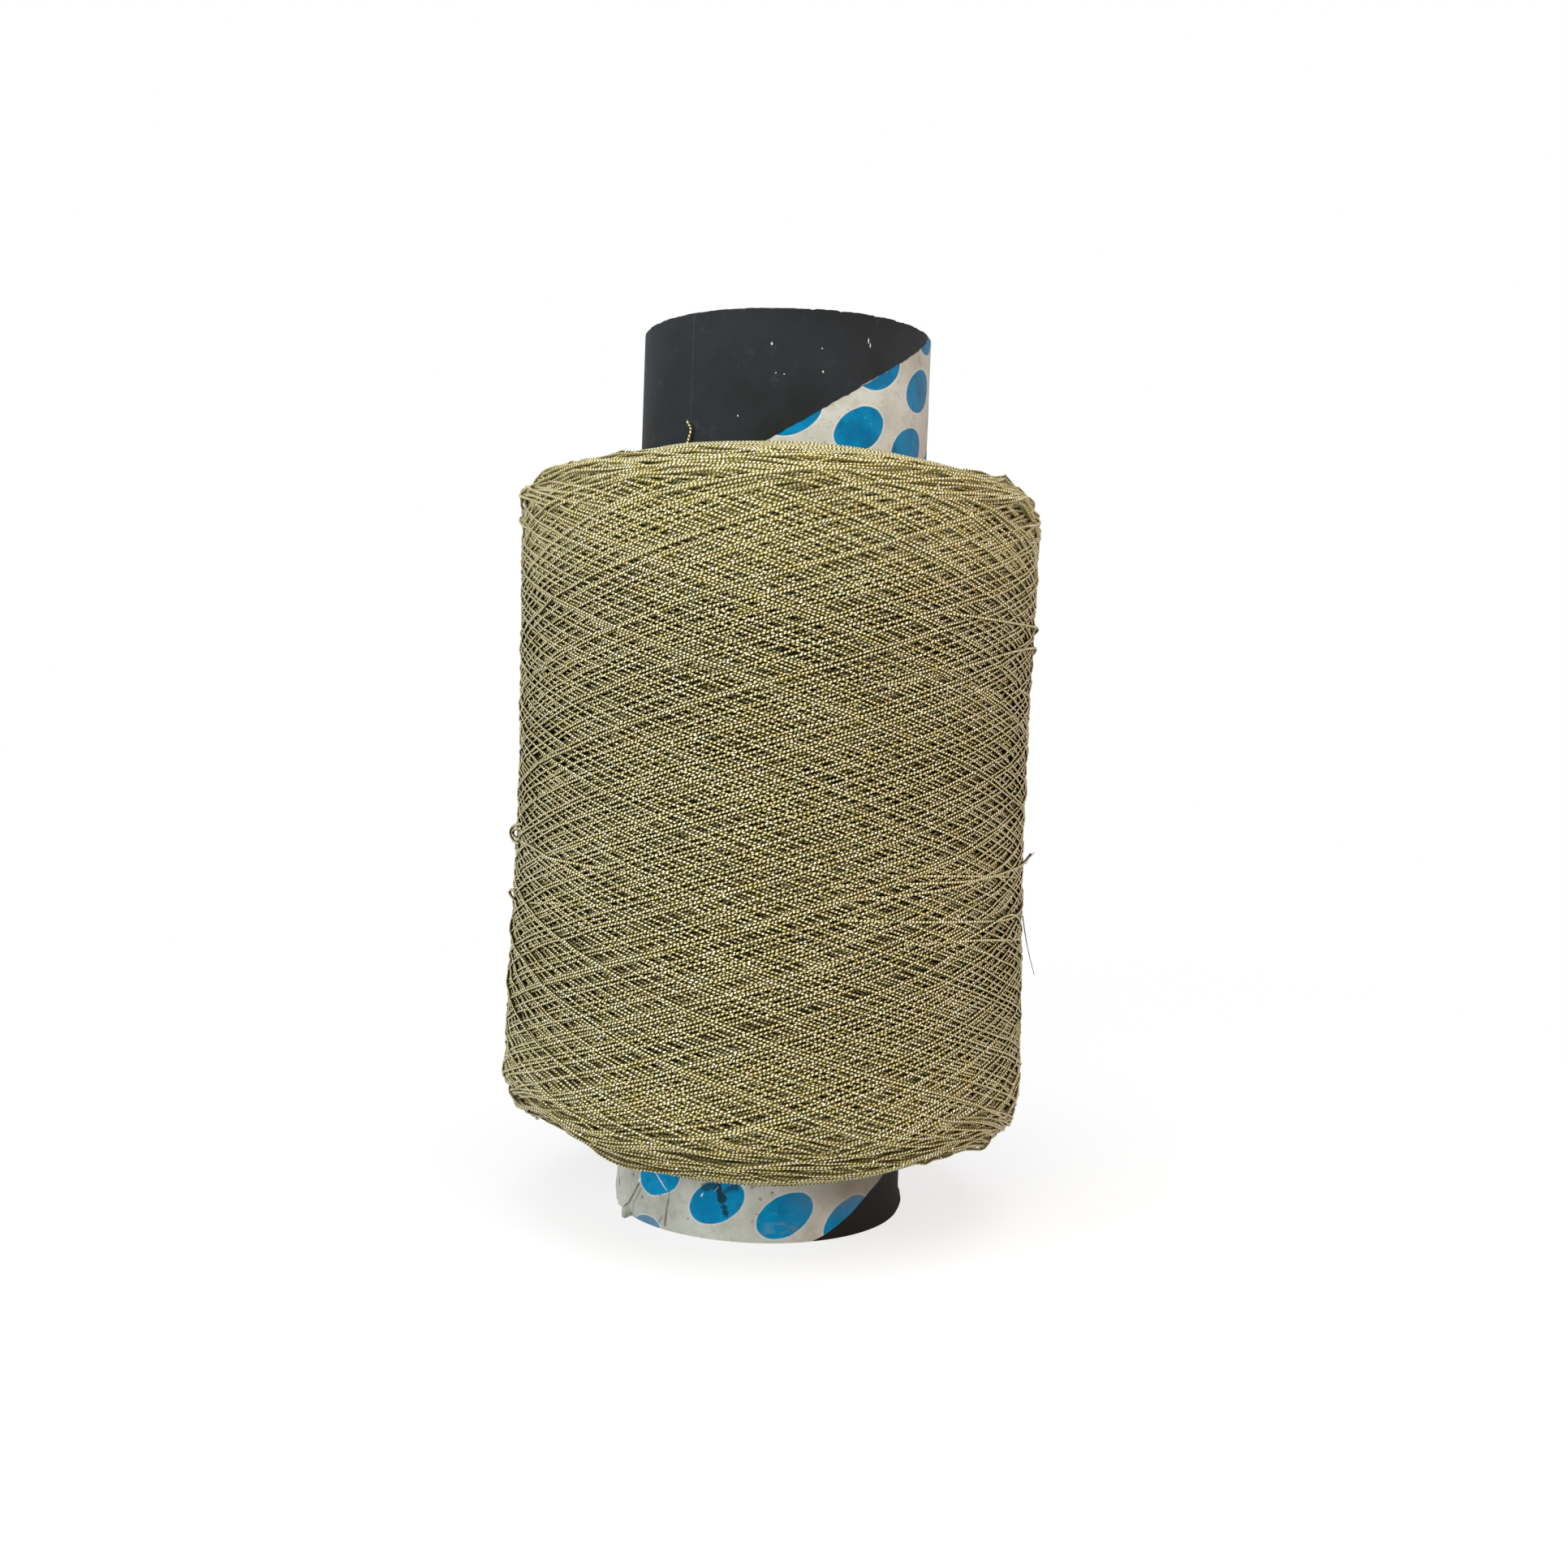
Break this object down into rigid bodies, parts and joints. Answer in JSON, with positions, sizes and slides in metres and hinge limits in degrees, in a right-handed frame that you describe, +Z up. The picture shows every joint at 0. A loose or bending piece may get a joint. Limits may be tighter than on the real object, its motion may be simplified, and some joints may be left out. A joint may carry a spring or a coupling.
{
  "type": "wound thread package",
  "caption": "Cross-wound package of twisted metallic thread on a plain spiral-wound paper tube, without flanges.",
  "frame": {"origin": "centre of the tube's foot, on the surface that the package stands on", "axes": "+Z up along the tube's axis; -Y faces the viewer of the picture; +X is to the viewer's right"},
  "size_m": [0.1082, 0.1084, 0.18],
  "materials": {
    "liner_paper": "plain brown liner paper",
    "board": "grey-brown core board",
    "black_paper": "smooth black wrap paper",
    "dotted_paper": "off-white wrap paper printed with blue dots",
    "thread": "khaki thread twisted with gold film"
  },
  "bodies": {
    "root": {"inner_liner": "liner_paper", "board_ply_1": "board", "board_ply_2": "board", "board_ply_3": "board", "board_ply_4": "board", "black_ply": "black_paper", "dotted_ply": "dotted_paper", "thread_build": "thread", "thread_outer_turns": "thread", "thread_tail": "thread"}
  },
  "joints": []
}
